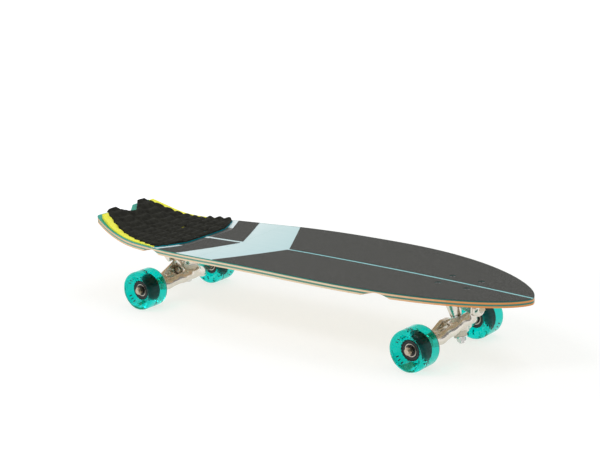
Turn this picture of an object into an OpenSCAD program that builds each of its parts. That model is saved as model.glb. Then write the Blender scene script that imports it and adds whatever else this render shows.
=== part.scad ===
/* [Deck] */
// Overall length of the deck, nose tip to tail tips
deck_length = 875; // [700:1:1000]
// Widest width of the deck
deck_width = 248; // [200:1:270]
// Height of the deck's top face above the ground, at the middle of its arch
deck_top = 122.8; // [100:0.1:150]
// Where the arch starts to fall towards the nose
arch_front = 90; // [0:1:200]
// Where the arch starts to fall towards the tail
arch_rear = 30; // [-100:1:90]
// Radius of the arch towards the nose
arch_front_radius = 10900; // [4000:100:30000]
// Radius of the arch towards the tail
arch_rear_radius = 4800; // [2000:100:30000]
// Where the rear of the arch turns into the hollow before the tail
hollow_start = -150; // [-250:1:0]
// Radius of the cross-wise concave
concave_radius = 2400; // [1200:50:6000]
// Length of the upturned tail
kick_length = 126.5; // [60:0.5:160]
// Radius of the upturned tail
kick_radius = 308; // [150:1:500]
// Thickness of the coloured top veneer
veneer = 1.8; // [0.6:0.1:3]
// Thickness of the upper maple core
core = 2.9; // [2:0.1:6]
// Thickness of the coloured middle veneer
veneer_mid = 2.9; // [0.6:0.1:4]
// Thickness of the lower maple core
core_low = 2.8; // [2:0.1:6]
// Thickness of the grip tape
grip = 0.6; // [0.4:0.1:1.5]
// Width of the open stripe between the grip halves
stripe = 5.6; // [1:0.1:8]
// Depth of the notch in the tail
notch_depth = 17; // [0:0.5:40]
// Half width of the notch at the tail end
notch_half = 24; // [10:0.5:40]

/* [Wheel wells] */
// Depth of the wells scooped from the deck's lower edges
well_depth = 6.8; // [0:0.1:9]
// Front well centre behind the front axle
front_well = 57; // [0:1:90]
// Rear well centre ahead of the rear axle
rear_well = 31; // [0:1:90]
// Radius of the front wells
front_well_r = 50; // [20:1:90]
// Radius of the rear wells
rear_well_r = 38; // [20:1:90]

/* [Tail pad] */
// Thickness of the coloured foam base
pad_base_t = 2.5; // [1:0.1:8]
// Thickness of the grooved foam top
pad_top_t = 3.5; // [1:0.1:8]
// Angle of the raised wedge against the flat of the board
wedge_angle = 25; // [0:0.5:40]
// Height of the wedge's plane above the ground where it starts
wedge_z = 125; // [110:0.1:140]

/* [Trucks] */
// Distance between the axles
wheelbase = 581; // [400:1:700]
// Distance from the nose tip to the front axle
nose_over = 156.5; // [100:0.5:220]
// Deck bolt spacing along the board
bolt_x = 53.98; // [50:0.01:70]
// Deck bolt spacing across the board
bolt_y = 41.28; // [38:0.01:45]
// Front bolt centre ahead of the front axle
front_bolts = 24; // [0:0.5:40]
// Rear bolt centre ahead of the rear axle
rear_bolts = 21; // [0:0.5:40]
// Tilt of the front kingpin
front_tilt = -14; // [-30:0.5:30]
// Tilt of the rear kingpin
rear_tilt = 16; // [-30:0.5:30]

/* [Wheels] */
// Wheel diameter
wheel_d = 69; // [60:0.5:80]
// Wheel width
wheel_w = 46; // [35:0.5:60]
// Distance between the outer faces of a pair of wheels
track = 231; // [200:1:260]

/* [Hidden] */
$fn = 48;
fine = 256;
broad = 900;
finest = 2160;
nose = deck_length / 2;
tail = -deck_length / 2;
xf = nose - nose_over;
xr = xf - wheelbase;
az = wheel_d / 2;
xk = tail + kick_length;
deck_t = veneer + core + veneer_mid + core_low;
// the tail end of the deck's long section: an arch, a hollow and the kick, each tangent to the last
hollow_turn = asin((arch_rear - hollow_start) / arch_rear_radius);
hollow_radius = round(10 * (hollow_start - xk) / sin(hollow_turn)) / 10;
// the hollow sits 0.05 mm high, so that it meets the arch in faces wide enough to mesh
z_low = round(100 * (deck_top - (arch_rear_radius + hollow_radius) * (1 - cos(hollow_turn)))) / 100 + 0.05;
// undersides of the two baseplates, above their axles
plate_low = 69;
rear_plate_low = 63.8;
bolt_r = 2.4;
wf = track / 2;
wi = wf - wheel_w;
core_out = wf - 12;
core_in = core_out - 24;
// ring centre and pivot centre in each truck's own frame, from its axle
fr = [20, 15.5];
fp = [57, 46];
rr = [22.5, 15.5];
rp = [-19, 37];
fa = atan2(fp[1] - fr[1], fp[0] - fr[0]);
ra = atan2(rp[1] - rr[1], rp[0] - rr[0]);

// ---- deck ----
function sx(i, n) = (1 - cos(180 * i / n)) / 2;
function wmid(s) = s > 0.6 ? pow(max(0, 1 - pow((s - 0.6) / 0.4, 2.3)), 0.645)
                 : 1 - 0.27 * pow((0.6 - s) / 0.6, 2) - 0.175 * pow((0.6 - s) / 0.6, 5);
function corner(d, r) = d < r ? r - sqrt(r * r - (r - d) * (r - d)) : 0;
function hw(s, in) = max(0, deck_width / 2 * wmid(s) - corner(s * deck_length, 5) - in);

module outline(in = 0, s0 = 0, s1 = 1, n = 54) {
  polygon(concat(
    [for (i = [0:n]) let (s = s0 + (s1 - s0) * sx(i, n)) [tail + s * deck_length, hw(s, in)]],
    [for (i = [n:-1:0]) let (s = s0 + (s1 - s0) * sx(i, n)) if (hw(s, in) > 0) [tail + s * deck_length, -hw(s, in)]]
  ));
}

module notch2d(out = 0) {
  k = notch_half / notch_depth;
  polygon([[tail - 20, notch_half + 20 * k + out * 1.9], [tail + notch_depth + out, 0], [tail - 20, -notch_half - 20 * k - out * 1.9]]);
}

// height of the deck's top face on its centre line
function fall(r, d) = r - sqrt(r * r - d * d);
function zc(x) = x > arch_front ? deck_top - fall(arch_front_radius, x - arch_front)
               : x > arch_rear ? deck_top
               : x > hollow_start ? deck_top - fall(arch_rear_radius, arch_rear - x)
               : x > xk ? z_low + fall(hollow_radius, x - xk)
               : z_low + fall(kick_radius, xk - x);

// the deck's cross section between two depths under its top face, as distance from an axis k above it or below it
module strip(k) translate([k - 60, -deck_width / 2 - 10]) square([120, deck_width + 20]);
module section(k, d1, d2) {
  intersection() {
    strip(k);
    difference() {
      translate([k - concave_radius, 0]) circle(r = concave_radius + d2, $fn = broad);
      translate([k - concave_radius, 0]) circle(r = concave_radius + d1, $fn = broad);
    }
  }
}
module section_below(k, d1, d2) {
  intersection() {
    strip(k);
    difference() {
      translate([k + concave_radius, 0]) circle(r = concave_radius + d2, $fn = broad);
      translate([k + concave_radius, 0]) circle(r = concave_radius + d1, $fn = broad);
    }
  }
}

module slab_front(d1, d2) {
  translate([arch_front, 0, deck_top]) translate([0, 0, -arch_front_radius]) mirror([1, 0, 0]) rotate([90, 0, 0]) rotate([0, 0, 90])
    rotate_extrude(angle = 2, $fn = finest) section_below(arch_front_radius, d1, d2);
}
module slab_tail(d1, d2) {
  intersection() {
    translate([xk, 0, z_low]) translate([0, 0, hollow_radius]) mirror([1, 0, 0]) rotate([-90, 0, 0]) rotate([0, 0, 90])
      rotate_extrude(angle = hollow_turn + 0.5, $fn = finest) section(hollow_radius, d1, d2);
    translate([xk - 10, -200, 0]) cube([hollow_start - xk + 10, 400, 250]);
  }
  translate([xk, 0, z_low]) translate([0, 0, kick_radius]) rotate([-90, 0, 0]) rotate([0, 0, 90])
    rotate_extrude(angle = 30, $fn = fine) section(kick_radius, d1, d2);
}
module slab_rear(d1, d2) {
  intersection() {
    translate([arch_rear, 0, deck_top]) translate([0, 0, -arch_rear_radius]) rotate([90, 0, 0]) rotate([0, 0, 90])
      rotate_extrude(angle = hollow_turn + 0.5, $fn = finest) section_below(arch_rear_radius, d1, d2);
    translate([hollow_start, -200, 0]) cube([arch_rear - hollow_start + 10, 400, 250]);
  }
}
module slab(d1, d2) {
  slab_front(d1, d2);
  translate([arch_rear, 0, deck_top]) translate([0, 0, 1000]) rotate([0, 90, 0]) linear_extrude(arch_front - arch_rear) section(1000, d1, d2);
  slab_rear(d1, d2);
  slab_tail(d1, d2);
}

module ply(d1, d2, in = 0) {
  intersection() {
    slab(d1, d2);
    translate([0, 0, 60]) linear_extrude(150) difference() { outline(in); notch2d(0); }
  }
}

module at_bolts(x, up = 1) {
  for (i = [-1, 1], j = [-1, 1]) translate([x + i * bolt_x / 2, j * bolt_y / 2, up * zc(x + i * bolt_x / 2)]) children();
}
module bolt_holes(r = 2.7, sink = true) {
  for (x = [xf + front_bolts, xr + rear_bolts]) at_bolts(x) {
    translate([0, 0, -40]) cylinder(r = r, h = 80);
    if (sink) translate([0, 0, -2.9]) cylinder(r1 = 2.5, r2 = 5.4, h = 2.9);
    if (sink) translate([0, 0, -0.01]) cylinder(r = 5.4, h = 20);
  }
}

// shallow scoops in the lower edges, deepest at the edge and running out inwards
module well(x, r) {
  y = hw((x - tail) / deck_length, 0);
  edge_low = zc(x) - deck_t + y * y / 2 / concave_radius;
  for (m = [0, 1]) mirror([0, m, 0]) translate([x, y, edge_low + well_depth]) rotate([-76, 0, 0]) translate([0, r, -60]) cylinder(r = r, h = 80);
}
module wells() {
  well(xf - front_well, front_well_r);
  well(xr + rear_well, rear_well_r);
}

module deck_top_veneer() color([0.02, 0.42, 0.38]) difference() { ply(0, veneer); bolt_holes(); }
module deck_upper_core() color([0.85, 0.65, 0.4]) difference() { ply(veneer, veneer + core); bolt_holes(); wells(); }
module deck_middle_veneer() color([0.02, 0.42, 0.38]) difference() { ply(veneer + core, deck_t - core_low); bolt_holes(2.7, false); wells(); }
module deck_lower_core() color([0.85, 0.65, 0.4]) difference() { ply(deck_t - core_low, deck_t); bolt_holes(2.7, false); wells(); }

// ---- grip tape: plain chevron cut-outs ----
band_tip = -43;
band_side = -113;
rear_tip = -149;
rear_side = -202;
pad_front = -225;

module grip_zone_front(side) {
  polygon([[band_tip, side * stripe / 2], [nose + 5, side * stripe / 2], [nose + 5, side * 150],
           [band_side - 20, side * 150], [band_tip + (band_side - band_tip) / 120 * 148, side * 148]]);
}
module grip_zone_rear(side) {
  polygon([[rear_tip, side * 4], [rear_tip + (rear_side - rear_tip) / 110 * 140, side * 140], [pad_front - 40, side * 140],
           [pad_front - 20, side * 101], [pad_front + 3.5, side * 57], [pad_front + 3.5, side * 4]]);
}
module grip_sheet() {
  intersection() {
    slab(-grip, 0);
    translate([0, 0, 60]) linear_extrude(150) intersection() { outline(0.8); children(); }
  }
}
module grip_front_left() color([0.2, 0.2, 0.2]) difference() { grip_sheet() grip_zone_front(1); bolt_holes(5.4); }
module grip_front_right() color([0.2, 0.2, 0.2]) difference() { grip_sheet() grip_zone_front(-1); bolt_holes(5.4); }
module grip_rear_left() color([0.2, 0.2, 0.2]) grip_sheet() grip_zone_rear(1);
module grip_rear_right() color([0.2, 0.2, 0.2]) grip_sheet() grip_zone_rear(-1);

// ---- foam tail pad ----
module under(h, d = 12) slab(-h, d);
module wedge(h, d = 12) {
  translate([tail + 62, 0, wedge_z]) rotate([0, wedge_angle, 0]) translate([-90, -140, h - d]) cube([90, 280, d]);
}
module pad_outline(in) {
  intersection() {
    outline(in);
    polygon([[pad_front, -50], [pad_front, 50], [pad_front - 10, 72], [pad_front - 25, 93], [pad_front - 46, 122], [tail + 6, 122],
             [tail + 6, -122], [pad_front - 46, -122], [pad_front - 25, -93], [pad_front - 10, -72]]);
  }
}
module pad_plan(in) {
  difference() { pad_outline(in); notch2d(8); }
}
module pad_holes() {
  at_bolts(xr + rear_bolts) translate([0, 0, -15]) cylinder(r = 5.6, h = 60);
}
module pad_base() color([0.9, 0.88, 0.12]) difference() {
  intersection() {
    union() { under(pad_base_t); wedge(0); }
    translate([0, 0, 60]) linear_extrude(150) pad_plan(3.5);
  }
  under(0, 50);
  pad_holes();
}
module pad_top() color([0.08, 0.08, 0.07]) difference() {
  intersection() {
    union() { under(pad_base_t + pad_top_t); wedge(pad_top_t); }
    translate([0, 0, 60]) linear_extrude(150) difference() {
      pad_plan(4.2);
      for (m = [-1, 1]) polygon([[tail, m * 130], [tail, m * 53], [tail + 40, m * 62], [tail + 72, m * 76], [tail + 102, m * 86],
                                 [tail + 132, m * 95], [tail + 160, m * 104], [tail + 190, m * 125]]);
    }
  }
  under(pad_base_t, 50);
  wedge(0, 50);
  pad_holes();
}

// ---- deck hardware ----
module hex(af, h) cylinder(d = af / cos(30), h = h, $fn = 6);
module deck_bolts(x) {
  at_bolts(x) difference() {
    union() {
      translate([0, 0, -2.8]) cylinder(r1 = bolt_r, r2 = 4.9, h = 2.6);
      translate([0, 0, -26]) cylinder(r = bolt_r, h = 24);
    }
    translate([0, 0, -1.9]) cylinder(d = 3.4, h = 3, $fn = 6);
  }
}
module deck_nuts(x, low) {
  at_bolts(x, 0) translate([0, 0, low + az - 4.6]) difference() { hex(9.5, 4.6); translate([0, 0, -1]) cylinder(r = bolt_r, h = 7); }
}
module front_deck_bolts() color([0.1, 0.1, 0.1]) deck_bolts(xf + front_bolts);
module front_deck_nuts() color([0.7, 0.7, 0.7]) deck_nuts(xf + front_bolts, plate_low);
module rear_deck_bolts() color([0.1, 0.1, 0.1]) deck_bolts(xr + rear_bolts);
module rear_deck_nuts() color([0.7, 0.7, 0.7]) deck_nuts(xr + rear_bolts, rear_plate_low);

// ---- truck frames ----
module on_axle(x) translate([x, 0, az]) children();
module on_king(c, tilt) translate([c[0], 0, c[1]]) rotate([0, tilt, 0]) children();
module on_pivot(c, ang) translate([c[0], 0, c[1]]) rotate([0, 90 - ang, 0]) children();

// a mounting plate, taller than the room under the deck, which is cut from it later
module plate(cx, low) {
  difference() {
    translate([cx, 0, low]) linear_extrude(10) difference() {
      union() {
        square([82, 44], center = true);
        square([68, 58], center = true);
        for (i = [-1, 1], j = [-1, 1]) translate([i * 34, j * 22]) circle(r = 7);
      }
    }
    translate([cx, 0, low - 1]) linear_extrude(12)
      for (i = [-1, 1], j = [-1, 1]) translate([i * bolt_x / 2, j * bolt_y / 2]) circle(r = 2.7);
  }
}
module xz(w) rotate([90, 0, 0]) translate([0, 0, -w / 2]) linear_extrude(w) children();

// ---- front truck, board side ----
module front_baseplate() color([0.75, 0.73, 0.7]) on_axle(xf) difference() {
  union() {
    plate(front_bolts, plate_low);
    intersection() {
      union() {
        on_king(fr, front_tilt) translate([0, 0, 15.5]) cylinder(r1 = 9.4, r2 = 15.9, h = 50);
        on_pivot(fp, fa) translate([0, 0, -4.2]) cylinder(r = 9.8, h = 50);
      }
      translate([-40, -40, 0]) cube([105, 80, plate_low + 1]);
    }
    xz(31) polygon([[24, plate_low + 1], [57, plate_low + 1], [55, 43.5], [36.5, 52.4], [28, 60]]);
  }
  on_king(fr, front_tilt) { translate([0, 0, -20]) cylinder(r = 4.9, h = 120); translate([0, 0, 42]) cylinder(r = 9.2, h = 60); }
  on_pivot(fp, fa) translate([0, 0, -30]) cylinder(r = 7.2, h = 40);
  translate([-xf, 0, -az]) slab_front(-30, deck_t);
}
module front_pivot_cup() color([0.85, 0.82, 0.74]) on_axle(xf) on_pivot(fp, fa) difference() {
  translate([0, 0, -4.2]) cylinder(r = 7.2, h = 14.1);
  translate([0, 0, -6]) cylinder(r = 5.06, h = 9);
  translate([0, 0, 3]) sphere(r = 5.06);
}
module kingpin(c, tilt, low, high) on_king(c, tilt) difference() {
  union() { translate([0, 0, low]) cylinder(r = 4.75, h = high - low); translate([0, 0, high]) hex(14.2, 6); }
  translate([0, 0, low - 1]) cylinder(d = 5.5, h = 4, $fn = 6);
}
module king_nut(c, tilt, low) on_king(c, tilt) translate([0, 0, low]) difference() {
  union() { hex(14.2, 6.2); translate([0, 0, -1.6]) cylinder(r = 6.4, h = 1.61); }
  translate([0, 0, -3]) cylinder(r = 4.75, h = 12);
}
module cup_washer(r) difference() {
  union() { cylinder(r = r, h = 1.5); }
  translate([0, 0, -1]) cylinder(r = 4.85, h = 4);
}
module front_kingpin() color([0.6, 0.6, 0.6]) on_axle(xf) kingpin(fr, front_tilt, -30, 42);
module front_kingpin_nut() color([0.7, 0.7, 0.7]) on_axle(xf) king_nut(fr, front_tilt, -26);
module front_cup_washers() color([0.72, 0.72, 0.72]) on_axle(xf) on_king(fr, front_tilt) {
  translate([0, 0, 14]) cup_washer(8.8);
  translate([0, 0, -19.8]) cup_washer(10.9);
}
module front_upper_bushing() color([0.93, 0.9, 0.8]) on_axle(xf) on_king(fr, front_tilt) difference() {
  union() {
    translate([0, 0, -1]) cylinder(r = 12.4, h = 5);
    translate([0, 0, 4]) cylinder(r1 = 12.4, r2 = 9.2, h = 4);
    translate([0, 0, 8]) cylinder(r1 = 9.2, r2 = 8, h = 6);
  }
  translate([0, 0, -2]) cylinder(r = 4.85, h = 20);
}
module front_lower_bushing() color([0.93, 0.9, 0.8]) on_axle(xf) on_king(fr, front_tilt) difference() {
  translate([0, 0, -18.3]) cylinder(r1 = 10.6, r2 = 12.2, h = 13.3);
  translate([0, 0, -20]) cylinder(r = 4.85, h = 18);
}

// ---- front hanger ----
module arm_end(r, y0, y1) translate([0, y1, 0]) rotate([90, 0, 0]) cylinder(r = r, h = y1 - y0, $fn = 32);
module shoulder() {
  rotate([-90, 0, 0]) cylinder(r = 7.6, h = 2 * (core_in - 1), center = true);
}
module front_hanger() color([0.78, 0.76, 0.73]) on_axle(xf) difference() {
  union() {
    shoulder();
    for (m = [0, 1]) mirror([0, m, 0]) {
      hull() { arm_end(8.6, 64, 66); translate([4, 0, 1.5]) rotate([-90, 0, 0]) cylinder(r = 9.5, h = 6, $fn = 32); translate([13, 0, 1.5]) rotate([-90, 0, 0]) cylinder(r = 8, h = 12, $fn = 32); }
      hull() { translate([6, 0, 0]) arm_end(8, 38, 42); translate([42, 0, 28.5]) arm_end(6.6, 1, 6); }
      hull() { translate([-8, 56, 0]) cube([7, 2, 2]); translate([-10, 0, 0]) cube([8, 9, 21]); }
    }
    on_king(fr, front_tilt) translate([0, 0, -9]) cylinder(r1 = 15.6, r2 = 17.3, h = 16.5);
    on_pivot(fr, fa) translate([0, 0, 4]) cylinder(r1 = 12, r2 = 6.8, h = 35.5);
    on_pivot(fp, fa) translate([0, 0, -10]) cylinder(r = 5, h = 13);
    on_pivot(fp, fa) translate([0, 0, 3]) sphere(r = 5);
  }
  on_king(fr, front_tilt) {
    translate([0, 0, -25]) cylinder(r = 7.6, h = 50);
    translate([0, 0, -1]) cylinder(r = 12.8, h = 9);
    translate([0, 0, 7.9]) cylinder(r = 14.6, h = 30);
    translate([0, 0, -30]) cylinder(r = 12.8, h = 25);
    translate([0, 0, -30]) cylinder(r1 = 20, r2 = 12.8, h = 19);
  }
  rotate([90, 0, 0]) cylinder(r = 4, h = 260, center = true);
}

// ---- rear truck ----
module rear_baseplate() color([0.75, 0.73, 0.7]) on_axle(xr) difference() {
  union() {
    plate(rear_bolts, rear_plate_low);
    intersection() {
      on_king(rr, rear_tilt) translate([0, 0, 16]) cylinder(r1 = 12.6, r2 = 15.6, h = 50);
      translate([-40, -40, 0]) cube([120, 80, rear_plate_low + 1]);
    }
    xz(26) polygon([[-6, rear_plate_low + 1], [-12, 38], [-13.5, 27], [-19, 26], [-33, 40], [-35, rear_plate_low + 1]]);
  }
  on_king(rr, rear_tilt) { translate([0, 0, -20]) cylinder(r = 4.9, h = 120); translate([0, 0, 40]) cylinder(r = 9.2, h = 60); }
  on_pivot(rp, ra) translate([0, 0, -30]) cylinder(r = 7.2, h = 40);
  // a flat seat against the deck's underside
  translate([rear_bolts, 0, zc(xr + rear_bolts) - deck_t - 0.02 - az])
    rotate([0, -asin((xr + rear_bolts - xk) / hollow_radius), 0]) translate([-100, -100, 0]) cube([200, 200, 60]);
}
module rear_pivot_cup() color([0.85, 0.82, 0.74]) on_axle(xr) on_pivot(rp, ra) difference() {
  translate([0, 0, -4.5]) cylinder(r = 7.2, h = 14.4);
  translate([0, 0, -6]) cylinder(r = 5.06, h = 9);
  translate([0, 0, 3]) sphere(r = 5.06);
}
module rear_kingpin() color([0.6, 0.6, 0.6]) on_axle(xr) kingpin(rr, rear_tilt, -24, 40);
module rear_kingpin_nut() color([0.7, 0.7, 0.7]) on_axle(xr) king_nut(rr, rear_tilt, -20.9);
module rear_cup_washers() color([0.72, 0.72, 0.72]) on_axle(xr) on_king(rr, rear_tilt) {
  translate([0, 0, 14.5]) cup_washer(12.4);
  translate([0, 0, -14.7]) cup_washer(9.2);
}
module rear_upper_bushing() color([0.93, 0.9, 0.8]) on_axle(xr) on_king(rr, rear_tilt) difference() {
  translate([0, 0, -0.5]) cylinder(r = 12.3, h = 15);
  translate([0, 0, -2]) cylinder(r = 4.85, h = 20);
}
module rear_lower_bushing() color([0.93, 0.9, 0.8]) on_axle(xr) on_king(rr, rear_tilt) difference() {
  translate([0, 0, -13.2]) cylinder(r1 = 10.6, r2 = 11.8, h = 7.7);
  translate([0, 0, -20]) cylinder(r = 4.85, h = 18);
}
module rear_hanger() color([0.78, 0.76, 0.73]) on_axle(xr) difference() {
  union() {
    shoulder();
    for (m = [0, 1]) mirror([0, m, 0]) {
      hull() { arm_end(8.6, 64, 66); translate([0, 0, -1.5]) rotate([-90, 0, 0]) cylinder(r = 9, h = 12, $fn = 32); translate([12, 0, 2]) rotate([-90, 0, 0]) cylinder(r = 8, h = 10, $fn = 32); }
      hull() { translate([8, 0, -2]) arm_end(8.5, 44, 50); translate([30, 0, 9.5]) arm_end(8.5, 3, 9); }
      hull() { translate([-7, 62, 0]) cube([6, 2, 5]); translate([-10, 0, 0]) cube([8, 6, 30]); }
    }
    on_king(rr, rear_tilt) translate([0, 0, -12.5]) cylinder(r1 = 15.4, r2 = 17.2, h = 18.5);
    on_pivot(rr, ra) translate([0, 0, 12]) cylinder(r1 = 11.5, r2 = 6.8, h = 24);
    on_pivot(rp, ra) translate([0, 0, -12]) cylinder(r = 5, h = 15);
    on_pivot(rp, ra) translate([0, 0, 3]) sphere(r = 5);
  }
  on_king(rr, rear_tilt) {
    translate([0, 0, -25]) cylinder(r = 7.6, h = 50);
    translate([0, 0, -0.5]) cylinder(r = 12.8, h = 9);
    translate([0, 0, 8]) cylinder(r = 16.6, h = 30);
    translate([0, 0, -30]) cylinder(r = 12.6, h = 24.5);
    translate([0, 0, -30]) cylinder(r1 = 19, r2 = 12.6, h = 16);
  }
  rotate([90, 0, 0]) cylinder(r = 4, h = 260, center = true);
}

// ---- axles and what is fixed on them ----
module both_ends() for (m = [0, 1]) mirror([0, m, 0]) rotate([-90, 0, 0]) children();
module tube(r1, r2, z0, z1) translate([0, 0, z0]) difference() { cylinder(r = r2, h = z1 - z0); translate([0, 0, -1]) cylinder(r = r1, h = z1 - z0 + 2); }
module axle() rotate([90, 0, 0]) cylinder(r = 4, h = 2 * (core_out + 10.5), center = true);
module axle_nuts() both_ends() translate([0, 0, core_out + 1]) difference() {
  union() { hex(12.7, 6); cylinder(r = 5.6, h = 7.8); }
  translate([0, 0, -1]) cylinder(r = 4, h = 12);
}
module speed_washers() both_ends() { tube(4, 5.8, core_out, core_out + 1); tube(4, 5.8, core_in - 1, core_in); }
module spacers() both_ends() tube(4, 5.2, core_in + 7, core_out - 7);
module inner_rings() both_ends() { tube(4, 6.1, core_out - 7, core_out); tube(4, 6.1, core_in, core_in + 7); }

module front_axle() color([0.6, 0.6, 0.6]) on_axle(xf) axle();
module front_axle_nuts() color([0.75, 0.75, 0.75]) on_axle(xf) axle_nuts();
module front_speed_washers() color([0.75, 0.75, 0.75]) on_axle(xf) speed_washers();
module front_bearing_spacers() color([0.75, 0.75, 0.75]) on_axle(xf) spacers();
module front_bearing_inner_rings() color([0.75, 0.75, 0.75]) on_axle(xf) inner_rings();
module rear_axle() color([0.6, 0.6, 0.6]) on_axle(xr) axle();
module rear_axle_nuts() color([0.75, 0.75, 0.75]) on_axle(xr) axle_nuts();
module rear_speed_washers() color([0.75, 0.75, 0.75]) on_axle(xr) speed_washers();
module rear_bearing_spacers() color([0.75, 0.75, 0.75]) on_axle(xr) spacers();
module rear_bearing_inner_rings() color([0.75, 0.75, 0.75]) on_axle(xr) inner_rings();

// ---- wheels: z runs outwards along the axle ----
module wheel_at(x, side) translate([x, 0, az]) mirror([0, side < 0 ? 1 : 0, 0]) rotate([-90, 0, 0]) children();
lip = 5.5;
module tyre() rotate_extrude($fn = 96) difference() {
  union() {
    translate([0, wi + lip]) square([az, wheel_w - 2 * lip]);
    translate([0, wi]) square([az - lip, wheel_w]);
    translate([az - lip, wi + lip]) circle(r = lip);
    translate([az - lip, wf - lip]) circle(r = lip);
  }
  // outer face dish, inner recess and the seat of the hub
  polygon([[-1, wf + 1], [28.5, wf + 1], [27.5, wf], [17.3, core_out + 1.4], [17.3, core_in], [15.6, core_in - 2], [21, wi + 3], [26, wi], [27, wi - 1], [-1, wi - 1]]);
}
module hub() rotate_extrude($fn = 96) difference() {
  translate([0, core_in]) square([17.3, core_out - core_in + 1]);
  translate([-1, core_in - 1]) square([12, 8]);
  translate([-1, core_out - 7]) square([12, 10]);
  translate([-1, core_in]) square([10.5, 22]);
}
module outer_rings() { tube(9.6, 11, core_out - 7, core_out); tube(9.6, 11, core_in, core_in + 7); }
module shields() for (z = [core_out - 0.7, core_out - 6.8, core_in + 0.2, core_in + 6.3]) tube(6.4, 9.6, z, z + 0.5);

module front_left_tyre() color([0, 0.6, 0.55, 0.7]) wheel_at(xf, 1) tyre();
module front_right_tyre() color([0, 0.6, 0.55, 0.7]) wheel_at(xf, -1) tyre();
module rear_left_tyre() color([0, 0.6, 0.55, 0.7]) wheel_at(xr, 1) tyre();
module rear_right_tyre() color([0, 0.6, 0.55, 0.7]) wheel_at(xr, -1) tyre();
module front_left_core() color([0.05, 0.05, 0.05]) wheel_at(xf, 1) hub();
module front_right_core() color([0.05, 0.05, 0.05]) wheel_at(xf, -1) hub();
module rear_left_core() color([0.05, 0.05, 0.05]) wheel_at(xr, 1) hub();
module rear_right_core() color([0.05, 0.05, 0.05]) wheel_at(xr, -1) hub();
module front_left_bearing_outer_rings() color([0.7, 0.68, 0.62]) wheel_at(xf, 1) outer_rings();
module front_right_bearing_outer_rings() color([0.7, 0.68, 0.62]) wheel_at(xf, -1) outer_rings();
module rear_left_bearing_outer_rings() color([0.7, 0.68, 0.62]) wheel_at(xr, 1) outer_rings();
module rear_right_bearing_outer_rings() color([0.7, 0.68, 0.62]) wheel_at(xr, -1) outer_rings();
module front_left_bearing_shields() color([0.05, 0.05, 0.05]) wheel_at(xf, 1) shields();
module front_right_bearing_shields() color([0.05, 0.05, 0.05]) wheel_at(xf, -1) shields();
module rear_left_bearing_shields() color([0.05, 0.05, 0.05]) wheel_at(xr, 1) shields();
module rear_right_bearing_shields() color([0.05, 0.05, 0.05]) wheel_at(xr, -1) shields();

deck_top_veneer();
deck_upper_core();
deck_middle_veneer();
deck_lower_core();
grip_front_left();
grip_front_right();
grip_rear_left();
grip_rear_right();
pad_base();
pad_top();
front_deck_bolts();
front_deck_nuts();
rear_deck_bolts();
rear_deck_nuts();
front_baseplate();
front_pivot_cup();
front_kingpin();
front_kingpin_nut();
front_cup_washers();
front_upper_bushing();
front_lower_bushing();
front_hanger();
front_axle();
front_axle_nuts();
front_speed_washers();
front_bearing_spacers();
front_bearing_inner_rings();
rear_baseplate();
rear_pivot_cup();
rear_kingpin();
rear_kingpin_nut();
rear_cup_washers();
rear_upper_bushing();
rear_lower_bushing();
rear_hanger();
rear_axle();
rear_axle_nuts();
rear_speed_washers();
rear_bearing_spacers();
rear_bearing_inner_rings();
front_left_tyre();
front_left_core();
front_left_bearing_outer_rings();
front_left_bearing_shields();
front_right_tyre();
front_right_core();
front_right_bearing_outer_rings();
front_right_bearing_shields();
rear_left_tyre();
rear_left_core();
rear_left_bearing_outer_rings();
rear_left_bearing_shields();
rear_right_tyre();
rear_right_core();
rear_right_bearing_outer_rings();
rear_right_bearing_shields();
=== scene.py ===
"""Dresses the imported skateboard: castings, wheels, foam pad, materials, floor, light and camera.

Shapes are in millimetres until their mesh is made. Materials, lamps and camera are in metres.
"""
import math
from itertools import product

import bmesh
import bpy
import numpy as np
from mathutils import Matrix, Vector


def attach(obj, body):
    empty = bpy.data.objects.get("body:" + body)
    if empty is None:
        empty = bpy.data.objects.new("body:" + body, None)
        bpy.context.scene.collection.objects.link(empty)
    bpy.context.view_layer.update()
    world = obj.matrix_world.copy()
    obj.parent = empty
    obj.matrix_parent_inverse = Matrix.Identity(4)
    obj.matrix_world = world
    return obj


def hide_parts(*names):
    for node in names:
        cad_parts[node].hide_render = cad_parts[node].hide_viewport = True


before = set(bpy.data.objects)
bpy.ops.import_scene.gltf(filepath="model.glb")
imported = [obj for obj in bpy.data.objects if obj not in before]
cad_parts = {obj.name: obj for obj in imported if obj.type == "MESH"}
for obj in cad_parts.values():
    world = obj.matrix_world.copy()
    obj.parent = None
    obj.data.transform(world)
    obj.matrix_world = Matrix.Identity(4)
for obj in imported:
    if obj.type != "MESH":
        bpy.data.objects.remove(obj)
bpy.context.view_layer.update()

MM = 0.001
scene = bpy.context.scene
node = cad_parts

# ---------------------------------------------------------------- sizes, as in the part's source
NOSE, TAIL = 437.5, -437.5
LENGTH, WIDTH = 875.0, 248.0
DECK_TOP, DECK_T = 122.8, 10.4
ARCH_FRONT, ARCH_REAR, HOLLOW_START, X_KICK = 90.0, 30.0, -150.0, -311.0
FRONT_R, REAR_R, HOLLOW_R, KICK_R, CONCAVE = 10900.0, 4800.0, 4293.3, 308.0, 2400.0
DECK_LOW = 116.45
WIDEST, CORNER_R = 0.6, 5.0
AXLE_Z = 34.5
X_FRONT, X_REAR = 281.0, -300.0
FRONT_PLATE_LOW, REAR_PLATE_LOW = 69.0, 63.8
BOLT_X, BOLT_Y = 53.98, 41.28
FRONT_BOLTS, REAR_BOLTS = 24.0, 21.0
KINGPIN_BORE = 4.85
PAD_BASE_T, PAD_TOP_T = 2.5, 3.5
WEDGE, WEDGE_Z = math.radians(25), 125.0
TREAD_R, FACE_Y, INNER_Y = 34.5, 115.5, 69.5
CORE_OUT, CORE_IN = 103.5, 79.5

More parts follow.
